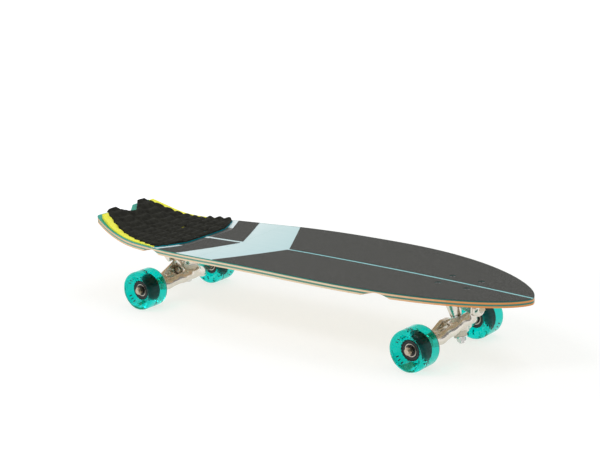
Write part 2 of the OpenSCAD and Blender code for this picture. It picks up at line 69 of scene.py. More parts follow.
# ---------------------------------------------------------------- camera, fitted to the photograph
AZIMUTH, ELEVATION, ROLL = 39.48, 15.27, -2.37
FOCAL_PIXELS, PICTURE_PIXELS, SENSOR = 1587.21, 600, 36
TARGET, DISTANCE = (-0.01507, 0, 0.16957), 2.678


def camera():
    az, el, roll = (math.radians(angle) for angle in (AZIMUTH, ELEVATION, ROLL))
    back = Vector((math.sin(az) * math.cos(el), -math.cos(az) * math.cos(el), math.sin(el)))
    right = Vector((0, 0, 1)).cross(back).normalized()
    up = back.cross(right)
    x = right * math.cos(roll) + up * math.sin(roll)
    y = -right * math.sin(roll) + up * math.cos(roll)
    data = bpy.data.cameras.new("camera")
    data.sensor_width = SENSOR
    data.lens = FOCAL_PIXELS * SENSOR / PICTURE_PIXELS
    data.clip_start, data.clip_end = 0.05, 60
    cam = bpy.data.objects.new("camera", data)
    scene.collection.objects.link(cam)
    place = Vector(TARGET) + back * DISTANCE
    rows = [(x[i], y[i], back[i], place[i]) for i in range(3)]
    cam.matrix_world = Matrix(rows + [(0, 0, 0, 1)])
    scene.camera = cam


camera()


# ---------------------------------------------------------------- the deck's outline
def half_width(x, inset):
    """Half the deck's width at x, less an inset. WIDEST is a share of the length from the tail."""
    s = (x - TAIL) / LENGTH
    if s > WIDEST:
        w = max(0.0, 1 - ((s - WIDEST) / (1 - WIDEST)) ** 2.3) ** 0.645
    else:
        v = (WIDEST - s) / WIDEST
        w = 1 - 0.27 * v * v - 0.175 * v**5
    from_tail = s * LENGTH
    corner = 0.0
    if from_tail < CORNER_R:
        corner = CORNER_R - math.sqrt(CORNER_R**2 - (CORNER_R - from_tail) ** 2)
    return max(0.0, WIDTH / 2 * w - corner - inset)


def rim_stops(steps=30):
    """The half width at places along the deck, as grey stops for a colour ramp."""
    places = [i / steps for i in range(steps + 1)]
    widths = [half_width(TAIL + LENGTH * i / steps, 0) for i in range(steps + 1)]
    return [(place, (w / (WIDTH / 2),) * 3) for place, w in zip(places, widths)]


# ---------------------------------------------------------------- materials
class Finish:
    """One material's nodes, with short calls to add to them."""

    def __init__(self, name, **sockets):
        self.mat = bpy.data.materials.new(name)
        self.mat.use_nodes = True
        self.tree = self.mat.node_tree
        self.bsdf = self.tree.nodes["Principled BSDF"]
        self.out = self.tree.nodes["Material Output"]
        for key, value in sockets.items():
            self.bsdf.inputs[key.replace("_", " ")].default_value = value
        here = self.add("TexCoord")
        self.at, self.normal = here.outputs["Object"], here.outputs["Normal"]

    def add(self, kind, **props):
        n = self.tree.nodes.new("ShaderNode" + kind)
        for k, v in props.items():
            setattr(n, k, v)
        return n

    def put(self, socket, value):
        if isinstance(socket, str):
            socket = self.bsdf.inputs[socket]
        if isinstance(value, bpy.types.NodeSocket):
            self.tree.links.new(value, socket)
        elif hasattr(value, "__len__") and len(value) == 3 and socket.type == "RGBA":
            socket.default_value = (*value, 1)
        else:
            socket.default_value = value

    def scaled(self, scale):
        n = self.add("Mapping")
        self.put(n.inputs["Vector"], self.at)
        n.inputs["Scale"].default_value = scale
        return n.outputs["Vector"]

    def noise(self, scale, detail=2.0, vector=None):
        n = self.add("TexNoise")
        self.put(n.inputs["Vector"], vector or self.at)
        n.inputs["Scale"].default_value = scale
        n.inputs["Detail"].default_value = detail
        return n.outputs["Fac"]

    def grain(self, detail, *scale):
        """Noise drawn out along the axes that have a small scale."""
        return self.noise(1.0, detail, self.scaled(scale))

    def cells(self, scale):
        n = self.add("TexVoronoi")
        self.put(n.inputs["Vector"], self.at)
        n.inputs["Scale"].default_value = scale
        return n.outputs["Distance"]

    def ramp(self, value, *stops):
        n = self.add("ValToRGB")
        self.put(n.inputs["Fac"], value)
        ends = n.color_ramp.elements
        while len(ends) < len(stops):
            ends.new(0.5)
        for e, (place, colour) in zip(ends, stops):
            e.position = place
            e.color = (*colour, 1)
        return n.outputs["Color"]

    def span(self, value, a, b, low=0.0, high=1.0):
        n = self.add("MapRange")
        names = ("Value", "From Min", "From Max", "To Min", "To Max")
        for k, v in zip(names, (value, a, b, low, high)):
            self.put(n.inputs[k], v)
        return n.outputs["Result"]

    def math(self, op, a, b=0.0):
        n = self.add("Math", operation=op)
        self.put(n.inputs[0], a)
        self.put(n.inputs[1], b)
        return n.outputs[0]

    def mix(self, share, a, b):
        n = self.add("Mix", data_type="RGBA")
        self.put(n.inputs["Factor"], share)
        for name, colour in (("A", a), ("B", b)):
            self.put([s for s in n.inputs if s.name == name and s.type == "RGBA"][0], colour)
        return [s for s in n.outputs if s.type == "RGBA"][0]

    def part(self, vector, axis):
        n = self.add("SeparateXYZ")
        self.put(n.inputs[0], vector)
        return n.outputs[axis]

    def bump(self, height, distance, strength=1.0):
        n = self.add("Bump")
        self.put(n.inputs["Height"], height)
        n.inputs["Distance"].default_value = distance
        n.inputs["Strength"].default_value = strength
        self.put("Normal", n.outputs["Normal"])

    def join(self, kind, *shaders):
        """A mix or sum of shaders. A mix has its share first."""
        n = self.add(kind)
        for socket, value in zip(n.inputs, shaders):
            self.put(socket, value)
        return n.outputs[0]

    def shader(self, kind, colour):
        n = self.add(kind)
        self.put(n.inputs["Color"], colour)
        return n.outputs[0]


def srgb(r, g, b):
    """A colour as a screen gives it, 0 to 255, as light."""
    return tuple(
        c / 255 / 12.92 if c < 10.3 else ((c / 255 + 0.055) / 1.055) ** 2.4 for c in (r, g, b)
    )


def maple(name, pale, dark, end):
    """Laminated maple: long grain on the sides, darker where the cut turns across the grain."""
    f = Finish(name, Roughness=0.42)
    fine = f.grain(3, 14, 420, 1400)
    broad = f.grain(2, 5, 60, 60)
    tone = f.mix(f.span(fine, 0.3, 0.7), pale, dark)
    tone = f.mix(f.span(broad, 0.35, 0.7, 0, 0.4), tone, dark)
    across = f.span(f.math("ABSOLUTE", f.part(f.normal, 0)), 0.08, 0.42)
    f.put("Base Color", f.mix(across, tone, end))
    f.put("Roughness", f.span(fine, 0.3, 0.7, 0.36, 0.52))
    f.bump(fine, 0.0001, 0.5)
    return f.mat


# what is printed on the deck: a teal margin and centre line, and grey and teal round the pad
MARGIN_IN, MARGIN_OUT = 0.0007, 0.0015
LINE_REAR, LINE_HALF = -0.036, 0.0045
GREY_FRONT, GREY_MIDDLE, GREY_HALF = -0.19, 0.035, 0.0305
TEAL_FRONT = -0.27


def printed_ground(f):
    """The pale ground of the deck's top face, and the plain shapes on it."""
    x, y = f.part(f.at, 0), f.part(f.at, 1)
    off_centre = f.math("ABSOLUTE", y)
    ground = f.ramp(
        f.span(x, -0.26, -0.02),
        (0.0, srgb(230, 243, 244)),
        (0.45, srgb(200, 226, 227)),
        (1.0, srgb(178, 214, 217)),
    )
    stain = f.span(f.grain(2, 9, 160, 160), 0.3, 0.8, 0, 0.12)
    ground = f.mix(stain, ground, srgb(160, 200, 206))
    rim = f.ramp(f.span(x, TAIL * MM, NOSE * MM), *rim_stops())
    from_rim = f.math("SUBTRACT", f.math("MULTIPLY", rim, WIDTH / 2 * MM), off_centre)
    ground = f.mix(f.span(from_rim, MARGIN_IN, MARGIN_OUT, 1, 0), ground, srgb(20, 122, 110))
    near = f.math("LESS_THAN", off_centre, LINE_HALF)
    line = f.math("MULTIPLY", near, f.math("GREATER_THAN", x, LINE_REAR))
    ground = f.mix(line, ground, srgb(138, 202, 204))
    from_middle = f.math("ABSOLUTE", f.math("SUBTRACT", off_centre, GREY_MIDDLE))
    beside = f.math("LESS_THAN", from_middle, GREY_HALF)
    grey = f.math("MULTIPLY", beside, f.math("LESS_THAN", x, GREY_FRONT))
    ground = f.mix(grey, ground, srgb(84, 84, 81))
    return f.mix(f.math("LESS_THAN", x, TEAL_FRONT), ground, srgb(26, 158, 142))


def veneer(name, tail_side, nose_side, printed):
    """Dyed veneer. Its top face carries the deck's printed ground where printed is true."""
    f = Finish(name, Roughness=0.4)
    fine = f.grain(3, 12, 300, 900)
    tone = f.mix(f.span(f.part(f.at, 0), -0.40, 0.33), tail_side, nose_side)
    tone = f.mix(f.span(fine, 0.35, 0.7, 0, 0.35), tone, (0.01, 0.10, 0.09))
    if printed:
        tone = f.mix(f.span(f.part(f.normal, 2), 0.75, 0.85), tone, printed_ground(f))
    f.put("Base Color", tone)
    f.put("Roughness", f.span(fine, 0.3, 0.7, 0.3, 0.45))
    f.bump(fine, 0.00008, 0.4)
    return f.mat


def grip_tape():
    f = Finish("grip_tape", Roughness=0.85, Specular_IOR_Level=0.15)
    grit = f.noise(1100, 3)
    patch = f.noise(420)
    tone = f.mix(f.span(grit, 0.36, 0.66), srgb(62, 62, 60), srgb(106, 106, 103))
    tone = f.mix(f.span(patch, 0.38, 0.62, 0, 0.7), tone, srgb(70, 70, 67))
    glint = f.math("LESS_THAN", f.cells(900), 0.16)
    f.put("Base Color", f.mix(f.math("MULTIPLY", glint, 0.5), tone, srgb(150, 150, 146)))
    f.put("Roughness", f.span(glint, 0, 1, 0.9, 0.45))
    f.bump(grit, 0.0005, 0.8)
    return f.mat


def foam(name, dark, pale, front=None):
    """Closed-cell foam. front is the colour of its leading edge, where it has one of its own."""
    f = Finish(name, Roughness=0.8, Specular_IOR_Level=0.1)
    tone = f.mix(f.span(f.noise(140, 4), 0.35, 0.68), dark, pale)
    tone = f.mix(f.span(f.noise(1300), 0.35, 0.7, 0, 0.4), tone, dark)
    if front:
        facing = f.span(f.part(f.normal, 0), 0.3, 0.4)
        lead = f.math("MULTIPLY", facing, f.span(f.part(f.at, 0), -0.30, -0.29))
        tone = f.mix(lead, tone, front)
    f.put("Base Color", tone)
    f.bump(f.noise(1800), 0.00025, 0.5)
    return f.mat


def metal(name, pale, dark, rough, lines=None):
    """A metal with slight stains and, where lines are given, fine lines of turning or brushing."""
    f = Finish(name, Metallic=1.0)
    f.put("Base Color", f.mix(f.span(f.noise(70, 4), 0.35, 0.7), pale, dark))
    f.put("Roughness", f.span(f.noise(520, 3), 0.3, 0.7, rough * 0.8, rough * 1.35))
    if lines:
        f.bump(f.grain(2, *lines), 0.00004, 0.5)
    else:
        f.bump(f.noise(260, 3), 0.00012, 0.35)
    return f.mat


def plastic(name, dark, pale, rough):
    f = Finish(name)
    f.put("Base Color", f.mix(f.span(f.noise(400, 3), 0.35, 0.7), dark, pale))
    f.put("Roughness", f.span(f.noise(900), 0.3, 0.7, rough * 0.85, rough * 1.2))
    f.bump(f.noise(1400), 0.00005, 0.5)
    return f.mat


def urethane():
    """Clear cast urethane. Lamp rays pass tinted, so what is inside stays lit."""
    f = Finish("clear_urethane", Transmission_Weight=1.0, IOR=1.25, Specular_IOR_Level=0.06)
    tint = f.span(f.noise(22, 1), 0.3, 0.7)
    f.put("Base Color", f.mix(tint, (0.0, 0.61, 0.53), (0.0, 0.59, 0.51)))
    f.put("Roughness", f.span(f.noise(90, 1), 0.3, 0.7, 0.05, 0.075))
    f.bump(f.noise(160, 1), 0.000002, 0.3)
    shadow = f.add("LightPath").outputs["Is Shadow Ray"]
    through = f.shader("BsdfTransparent", (0.03, 0.74, 0.66))
    f.put(f.out.inputs["Surface"], f.join("MixShader", shadow, f.bsdf.outputs[0], through))
    return f.mat


TURNED = (900, 60, 900)
FINISHES = {
    "maple": maple("maple", srgb(254, 234, 204), srgb(246, 214, 174), srgb(242, 162, 84)),
    "top_veneer": veneer("top_veneer", srgb(34, 172, 152), srgb(12, 104, 94), True),
    "veneer": veneer("veneer", srgb(122, 184, 162), srgb(70, 140, 120), False),
    "grip": grip_tape(),
    "black_foam": foam("black_foam", srgb(34, 34, 30), srgb(50, 50, 44)),
    "yellow_foam": foam(
        "yellow_foam", srgb(244, 242, 72), srgb(254, 252, 112), srgb(0, 128, 140)
    ),
    "casting": metal("polished_casting", (0.82, 0.77, 0.69), (0.70, 0.66, 0.59), 0.22),
    "steel": metal("plated_steel", (0.80, 0.79, 0.77), (0.68, 0.66, 0.62), 0.2, TURNED),
    "nut": metal("axle_nut_steel", (0.60, 0.51, 0.40), (0.48, 0.41, 0.32), 0.3),
    # near-black steel for the speed washers and bearing inner rings: painted shade of the hub's
    # recessed bore round the axle nut
    "washer": metal("bore_shade_steel", (0.10, 0.13, 0.13), (0.06, 0.08, 0.08), 0.35),
    "ring": metal("bearing_steel", (0.66, 0.62, 0.54), (0.55, 0.52, 0.45), 0.32, TURNED),
    "black_steel": plastic("black_steel", (0.012, 0.012, 0.013), (0.03, 0.03, 0.03), 0.3),
    "black_plastic": plastic(
        "black_plastic", (0.009, 0.009, 0.010), (0.018, 0.018, 0.018), 0.34
    ),
    "cream": plastic("cream_urethane", srgb(232, 226, 206), srgb(243, 239, 224), 0.33),
    "urethane": urethane(),
}


# ---------------------------------------------------------------- meshes
def piece(name, verts, faces, body, finish, smooth=True, replaces=(), slot=None, sharp=None):
    """A mesh piece from points in millimetres."""
    mesh = bpy.data.meshes.new(name)
    verts = (np.asarray(verts, float) * MM).tolist()
    faces = faces.tolist() if isinstance(faces, np.ndarray) else faces
    mesh.from_pydata(verts, [], faces)
    mesh.validate()
    bm = bmesh.new()
    bm.from_mesh(mesh)
    bmesh.ops.remove_doubles(bm, verts=bm.verts, dist=1e-6)
    bmesh.ops.recalc_face_normals(bm, faces=bm.faces)
    bm.to_mesh(mesh)
    bm.free()
    if smooth:
        mesh.shade_smooth()
        if sharp:
            mesh.set_sharp_from_angle(angle=math.radians(sharp))
    ob = bpy.data.objects.new(name, mesh)
    scene.collection.objects.link(ob)
    mesh.materials.append(FINISHES[finish])
    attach(ob, body)
    if replaces:
        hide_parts(*replaces)
    return ob


def rounded(profile, n):
    """A closed profile with each corner that carries a third number rounded to it."""
    out = []
    k = len(profile)
    for i, p in enumerate(profile):
        a, c = np.array(profile[i - 1][:2], float), np.array(profile[(i + 1) % k][:2], float)
        b = np.array(p[:2], float)
        if len(p) < 3:
            out.append(tuple(b))
            continue
        u, v = (a - b) / np.linalg.norm(a - b), (c - b) / np.linalg.norm(c - b)
        half = math.acos(max(-1, min(1, float(u @ v)))) / 2
        longest = 0.49 * np.linalg.norm(a - b), 0.49 * np.linalg.norm(c - b)
        reach = min(p[2] / math.tan(half), *longest)
        r = reach * math.tan(half)
        centre = b + (u + v) / np.linalg.norm(u + v) * r / math.sin(half)
        p0, p1 = b + u * reach - centre, b + v * reach - centre
        a0, a1 = math.atan2(p0[1], p0[0]), math.atan2(p1[1], p1[0])
        turn = (a1 - a0 + math.pi) % (2 * math.pi) - math.pi
        steps = max(2, int(n * abs(turn) / 0.5))
        for t in (a0 + turn * j / steps for j in range(steps + 1)):
            out.append(tuple(centre + r * np.array((math.cos(t), math.sin(t)))))
    return out


def lathe(profile, centre, axis, segments):
    """Points and faces of a closed (radius, distance along the axis) profile turned about it."""
    d = Vector(axis).normalized()
    u = d.orthogonal().normalized()
    v = d.cross(u)
    k = len(profile)
    verts, faces = [], []
    for i in range(segments):
        t = 2 * math.pi * i / segments
        out = u * math.cos(t) + v * math.sin(t)
        verts += [tuple(Vector(centre) + out * r + d * s) for r, s in profile]
    for i in range(segments):
        j = (i + 1) % segments
        for a in range(k):
            b = (a + 1) % k
            faces.append((i * k + a, i * k + b, j * k + b, j * k + a))
    return verts, faces


# ---------------------------------------------------------------- the deck's surface
def fall(radius, d):
    return radius - np.sqrt(radius * radius - d * d)


def crown(x):
    """Height of the deck's top face on its centre line, ahead of the upturned tail."""
    front = DECK_TOP - fall(FRONT_R, np.maximum(x - ARCH_FRONT, 0))
    rear = DECK_TOP - fall(REAR_R, np.clip(ARCH_REAR - x, 0, ARCH_REAR - HOLLOW_START))
    low = DECK_LOW + fall(HOLLOW_R, np.clip(x - X_KICK, 0, HOLLOW_START - X_KICK))
    return np.where(x > ARCH_REAR, front, np.where(x > HOLLOW_START, rear, low))


def deck_z(x, y, up=0.0):
    """Height of the surface that lies up above the deck's top face."""
    dish = CONCAVE - np.sqrt(CONCAVE**2 - y**2) + up
    back = np.maximum(X_KICK - x, 0)
    kick = DECK_LOW + KICK_R - np.sqrt((KICK_R - dish) ** 2 - back**2)
    return np.where(x > X_KICK, crown(x) + dish, kick)


# ---------------------------------------------------------------- castings, cut from rounded fields
def smin(k, *ds):
    """The least of some distances, blended over k."""
    a = ds[0]
    for b in ds[1:]:
        h = np.clip(0.5 + 0.5 * (b - a) / k, 0, 1)
        a = b * (1 - h) + a * h - k * h * (1 - h)
    return a


def smax(k, *ds):
    return -smin(k, *[-d for d in ds])


class Field:
    """Distances on a grid over one half of a casting that is the same on both sides of y = 0."""

    def __init__(self, low, high, pitch):
        self.pitch = pitch
        half = np.arange(0.5, high[1] / pitch + 1) * pitch
        xs, zs = (np.arange(low[i], high[i] + pitch, pitch) for i in (0, 2))
        self.low = np.array((low[0], -half[-1], low[2]))
        self.p = np.stack(np.meshgrid(xs, half, zs, indexing="ij"), -1).astype(np.float32)

    def rod(self, a, b, ra, rb):
        a, ab = np.array(a, np.float32), np.array(b, np.float32) - np.array(a, np.float32)
        t = np.clip(((self.p - a) @ ab) / float(ab @ ab), 0, 1)
        return np.linalg.norm(self.p - a - t[..., None] * ab, axis=-1) - (ra + (rb - ra) * t)

    def cone(self, centre, axis, s0, s1, r0, r1, k):
        """A round solid from s0 to s1 along an axis, of radius r0 to r1."""
        c, d = np.array(centre, np.float32), np.array(axis, np.float32)
        q = self.p - c
        s = q @ d
        rad = np.linalg.norm(q - s[..., None] * d, axis=-1)
        slope = (r1 - r0) / (s1 - s0)
        side = (rad - r0 - slope * (s - s0)) / math.hypot(1, slope)
        return smax(k, side, s0 - s, s - s1)

    def edges(self, u, v, corners):
        """Distances past each edge of a convex outline in axes u and v, counter-clockwise."""
        out = []
        for (u0, v0), (u1, v1) in zip(corners, corners[1:] + corners[:1]):
            n = np.array((v1 - v0, u0 - u1), float) / math.hypot(u1 - u0, v1 - v0)
            out.append((self.p[..., u] - u0) * n[0] + (self.p[..., v] - v0) * n[1])
        return out

    def prism(self, half_width, corners, k=1.5):
        """An outline in x and z, over |y| up to half_width."""
        return smax(k, self.p[..., 1] - half_width, *self.edges(0, 2, corners))

    def wall(self, x0, x1, corners, k):
        """A plate from x0 to x1 with an outline in y and z."""
        x = self.p[..., 0]
        return smax(k, x0 - x, x - x1, *self.edges(1, 2, corners))

    def box(self, x0, x1, y0, y1, z0, z1, k):
        x, y, z = (self.p[..., i] for i in range(3))
        return smax(k, x0 - x, x - x1, y0 - y, y - y1, z0 - z, z - z1)

    def mesh(self, f):
        """Quads round where the field changes sign, one point to a cell."""
        f = np.concatenate((f[:, ::-1], f), 1)
        s = f < 0
        n = f.shape
        count = np.zeros([m - 1 for m in n], np.int8)
        for corner in product((0, 1), repeat=3):
            count += s[tuple(slice(d, m - 1 + d) for d, m in zip(corner, n))]
        active = (count > 0) & (count < 8)
        index = np.full(active.shape, -1, np.int64)
        cells = np.argwhere(active)
        index[active] = np.arange(len(cells))
        total, hits = np.zeros((len(cells), 3)), np.zeros(len(cells))
        for axis in range(3):
            u, v = [a for a in range(3) if a != axis]
            for du, dv in product((0, 1), repeat=2):
                a = cells.copy()
                a[:, u] += du
                a[:, v] += dv
                b = a.copy()
                b[:, axis] += 1
                fa, fb = f[tuple(a.T)], f[tuple(b.T)]
                hit = (fa < 0) != (fb < 0)
                p = a[hit].astype(float)
                p[:, axis] += fa[hit] / (fa[hit] - fb[hit])
                total[hit] += p
                hits[hit] += 1
        verts = self.low + self.pitch * total / hits[:, None]
        faces = []
        for axis in range(3):
            u, v = (axis + 1) % 3, (axis + 2) % 3
            a, b = s.take(range(n[axis] - 1), axis), s.take(range(1, n[axis]), axis)
            g = np.argwhere(a != b)
            g = g[(g[:, u] > 0) & (g[:, u] < n[u] - 1) & (g[:, v] > 0) & (g[:, v] < n[v] - 1)]
            eu, ev = np.eye(3, dtype=int)[u], np.eye(3, dtype=int)[v]
            quad = np.stack([index[tuple(c.T)] for c in (g, g - eu, g - eu - ev, g - ev)], 1)
            flip = ~a[tuple(g.T)]
            quad[flip] = quad[flip][:, ::-1]
            faces.append(quad)
        return verts, np.concatenate(faces)


# each truck from its axle's middle: the bushings' ring, the pivot, and the lines through them
def kingpin(tilt):
    return (math.sin(math.radians(tilt)), 0, math.cos(math.radians(tilt)))


def towards(a, b):
    d = math.hypot(b[0] - a[0], b[2] - a[2])
    return ((b[0] - a[0]) / d, 0, (b[2] - a[2]) / d)


F_RING, F_PIVOT, F_KING = (20.0, 0, 15.5), (57.0, 0, 46.0), kingpin(-14)
R_RING, R_PIVOT, R_KING = (22.5, 0, 15.5), (-19.0, 0, 37.0), kingpin(16)
F_AXIS, R_AXIS = towards(F_RING, F_PIVOT), towards(R_RING, R_PIVOT)
GRID = 0.9
ARM_END, ARM_BLEND = 66, 6
THROUGH_HANGER = (-30, 30, 7.6, 7.6)
THROUGH_BOSS, PIVOT_CUP = (-10, 90, 4.9, 4.9), (-30, 10, 7.2, 7.2)


def arm(g, *path):
    """A cast arm swept through points, each with its radius, cut square where the axle leaves."""
    rods = [g.rod(a[:3], b[:3], a[3], b[3]) for a, b in zip(path, path[1:])]
    return smax(1.2, smin(ARM_BLEND, *rods), g.p[..., 1] - ARM_END)


def axle_shoulder(g):
    return g.cone((0, 0, 0), (0, 1, 0), -1, CORE_IN - 1, 7.6, 7.6, 0.6)


def rib(g, y, x, z):
    """An upright rib on the front of a web, from its foot to the height z."""
    return g.wall(-8, x, [(y - 1.3, 0), (y + 1.3, 0), (y + 1.3, z), (y - 1.3, z)], 0.8)


def pivot_pin(g, at, axis, length):
    """A pin that ends in a ball of its own radius."""
    end = np.array(at) + 3 * np.array(axis)
    ball = g.rod(end, end + 0.01 * np.array(axis), 5, 5)
    return smin(1, g.cone(at, axis, -length, 3, 5, 5, 0.3), ball)


def bore(g, f, at, axis, *holes, blend, edge):
    """Cuts holes along an axis, each given by its two ends and its radius at each."""
    for s0, s1, r0, r1 in holes:
        f = smax(blend, f, -g.cone(at, axis, s0, s1, r0, r1, edge))
    return f


def front_hanger(g):
    outer = (0, ARM_END, 0, 8.4), (9, 34, 0.5, 8.6), (24, 20, 13, 7.6)
    beam = arm(g, *outer, (42, 6, 28.5, 7), (46, 0, 32, 6.8))
    foot = arm(g, (0, ARM_END, 0, 8), (6, 12, 0.5, 9))
    web = g.wall(-10, -2.5, [(-20, -2), (58, -2), (57, 1), (27.7, 13.5), (10, 21), (-20, 21)], 1.5)
    ring = g.cone(F_RING, F_KING, -9, 7.5, 15.6, 17.3, 1.5)
    nose = g.cone(F_RING, F_AXIS, 4, 39.5, 12, 6.8, 1.5)
    f = smin(5, beam, foot, smin(3, web, rib(g, 36, 4, 10)), axle_shoulder(g))
    f = smin(4, f, ring, nose)
    above = (-1, 30, 12.8, 12.8), (7.9, 40, 14.6, 14.6)
    below = (-30, -5, 12.8, 12.8), (-30, -11, 20, 12.8)
    f = bore(g, f, F_RING, F_KING, *above, *below, blend=0.8, edge=0.3)
    f = bore(g, f, F_RING, F_KING, THROUGH_HANGER, blend=0.5, edge=0.3)
    return np.minimum(f, pivot_pin(g, F_PIVOT, F_AXIS, 10))


def rear_hanger(g):
    beam = arm(g, (0, ARM_END, -1, 8.4), (10, 46, -2, 8.6), (27, 22, 7, 8.5), (31, 10, 9.5, 8.5))
    foot = arm(g, (0, ARM_END, -1, 8), (4, 12, -1, 9))
    web = g.wall(-10, -3.5, [(-20, -2), (62, -2), (64, 5), (6, 30), (-20, 30)], 1.5)
    ribs = [rib(g, y, 3.5, 26 - 0.36 * y) for y in (22, 30, 38)]
    ring = g.cone(R_RING, R_KING, -12.5, 6, 15.4, 17.2, 1.5)
    nose = g.cone(R_RING, R_AXIS, 12, 36, 11.5, 6.8, 1.5)
    f = smin(5, beam, foot, smin(2, web, *ribs), axle_shoulder(g))
    f = smin(4, f, ring, nose)
    above = (-0.5, 30, 12.8, 12.8), (8, 40, 16.6, 16.6)
    below = (-30, -5.5, 12.6, 12.6), (-30, -14, 19, 12.6)
    f = bore(g, f, R_RING, R_KING, *above, *below, blend=0.8, edge=0.3)
    f = bore(g, f, R_RING, R_KING, THROUGH_HANGER, blend=0.5, edge=0.3)
    return np.minimum(f, pivot_pin(g, R_PIVOT, R_AXIS, 12))


def plate(g, cx, z0):
    """A baseplate's flange over its four bolt holes. Its top is cut to the deck later."""
    z1 = z0 + 10
    long = g.box(cx - 41, cx + 41, -1, 22, z0, z1, 0.5)
    wide = g.box(cx - 34, cx + 34, -1, 29, z0, z1, 0.5)
    f = smax(0.8, np.minimum(long, wide), z0 - g.p[..., 2])
    for m in (-1, 1):
        f = np.minimum(f, g.cone((cx + m * 34, 22, 0), (0, 0, 1), z0, z1, 7, 7, 0.6))
    for m in (-1, 1):
        bolt = (cx + m * BOLT_X / 2, BOLT_Y / 2, 0)
        f = bore(g, f, bolt, (0, 0, 1), (z0 - 2, z1 + 2, 2.7, 2.7), blend=0.4, edge=0.2)
    return f


def front_baseplate(g):
    low = FRONT_PLATE_LOW
    x, y, z = (g.p[..., i] for i in range(3))
    boss = smax(1, g.cone(F_RING, F_KING, 15.5, 65.5, 9.4, 18.5, 1.2), z - low - 3)
    barrel_end = smax(1, g.cone(F_PIVOT, F_AXIS, -4.2, 50, 9.8, 9.8, 1.5), z - low - 1, x - 65)
    house = g.prism(15.5, [(22, low + 1), (25, 55), (35, 49), (55, 43), (57, low + 1)])
    f = smin(3, plate(g, FRONT_BOLTS, low), boss, house, barrel_end)
    head = (42, 90, 9.2, 9.2)
    f = bore(g, f, F_RING, F_KING, THROUGH_BOSS, head, blend=0.5, edge=0.2)
    f = bore(g, f, F_PIVOT, F_AXIS, PIVOT_CUP, blend=0.5, edge=0.2)
    return smax(0.8, f, z - (deck_z(x + X_FRONT, y) - DECK_T - AXLE_Z))


def rear_baseplate(g):
    low = REAR_PLATE_LOW
    x, z = g.p[..., 0], g.p[..., 2]
    boss = smax(1, g.cone(R_RING, R_KING, 16, 66, 12.6, 15.6, 1.2), z - low - 3)
    upper = g.prism(13, [(-35, low + 1), (-33, 40), (-12, 38), (-6, low + 1)])
    lower = g.prism(13, [(-33, 40), (-19, 26), (-13.5, 27), (-12, 40)])
    f = smin(3, plate(g, REAR_BOLTS, low), boss, smin(1, upper, lower))
    head = (40, 90, 9.2, 9.2)
    f = bore(g, f, R_RING, R_KING, THROUGH_BOSS, head, blend=0.5, edge=0.2)
    f = bore(g, f, R_PIVOT, R_AXIS, PIVOT_CUP, blend=0.5, edge=0.2)
    middle = X_REAR + REAR_BOLTS
    seat = float(crown(np.array(middle))) - DECK_T - 0.02 - AXLE_Z
    return smax(0.8, f, z - seat - (x - REAR_BOLTS) * (middle - X_KICK) / HOLLOW_R)


CASTINGS = (
    ("front_hanger", front_hanger, X_FRONT, "front_truck", (-13, 0, -14), (64, 80, 57)),
    ("rear_hanger", rear_hanger, X_REAR, "rear_truck", (-30, 0, -14), (45, 80, 46)),
    ("front_baseplate", front_baseplate, X_FRONT, "board", (-20, 0, 22), (70, 31, 79)),
    ("rear_baseplate", rear_baseplate, X_REAR, "board", (-38, 0, 22), (66, 31, 74)),
)
for cad, build, x_axle, body, low, high in CASTINGS:
    field = Field(low, high, GRID)
    verts, faces = field.mesh(build(field))
    verts = verts + (x_axle, 0, AXLE_Z)
    piece(
        cad + "_casting", verts, faces, body, "casting", replaces=(cad,), slot="polished_casting"
    )


# ---------------------------------------------------------------- bushings on the kingpins
def barrel(r0, r1, s0, s1):
    middle = (r0 + r1) / 2 + 0.35, (s0 + s1) / 2, 9
    return [(KINGPIN_BORE, s0), (r0, s0, 1.3), middle, (r1, s1, 1.3), (KINGPIN_BORE, s1)]


STEPPED = [
    (KINGPIN_BORE, -1), (12.4, -1, 0.8), (12.4, 3.6, 1.5),
    (9.3, 8, 2), (8, 14, 0.8), (KINGPIN_BORE, 14),
]
BUSHINGS = (
    ("front_upper_bushing", X_FRONT, F_RING, F_KING, STEPPED),
    ("front_lower_bushing", X_FRONT, F_RING, F_KING, barrel(10.6, 12.2, -18.3, -5)),
    ("rear_upper_bushing", X_REAR, R_RING, R_KING, barrel(12.3, 12.3, -0.5, 14.5)),
    ("rear_lower_bushing", X_REAR, R_RING, R_KING, barrel(10.6, 11.8, -13.2, -5.5)),
)
for cad, x_axle, ring, axis, profile in BUSHINGS:
    centre = (x_axle + ring[0], 0, AXLE_Z + ring[2])
    verts, faces = lathe(rounded(profile, n=4), centre, axis, 64)
    piece(
        cad + "_moulded", verts, faces, "board", "cream",
        sharp=50, replaces=(cad,), slot="cream_urethane",
    )


# ---------------------------------------------------------------- wheels, about a y axis at 0
TREAD = [
    (16.4, CORE_IN - 1.2),
    (21.0, INNER_Y + 3.0, 2.0),
    (25.6, INNER_Y + 0.3, 1.2),
    (29.0, INNER_Y, 1.5),
    (33.0, INNER_Y + 1.9, 3.2),
    (TREAD_R, INNER_Y + 6.4, 3.0),
    (TREAD_R, FACE_Y - 6.4, 3.0),
    (33.0, FACE_Y - 1.9, 3.2),
    (29.3, FACE_Y, 1.5),
    (27.6, FACE_Y - 0.5, 1.2),
    (18.0, CORE_OUT + 1.6, 1.2),
    (16.4, CORE_OUT + 1.2),
]
HUB = [
    (11.0, CORE_IN), (17.3, CORE_IN, 0.5),
    (17.3, CORE_OUT + 1, 0.5), (15.8, CORE_OUT + 1, 0.3),
    (15.2, CORE_OUT + 0.1, 0.3), (12.6, CORE_OUT + 0.1, 0.3),
    (12.2, CORE_OUT + 0.9, 0.2), (11.0, CORE_OUT + 0.9, 0.2),
    (11.0, CORE_OUT - 7), (10.5, CORE_OUT - 7),
    (10.5, CORE_IN + 7), (11.0, CORE_IN + 7),
]
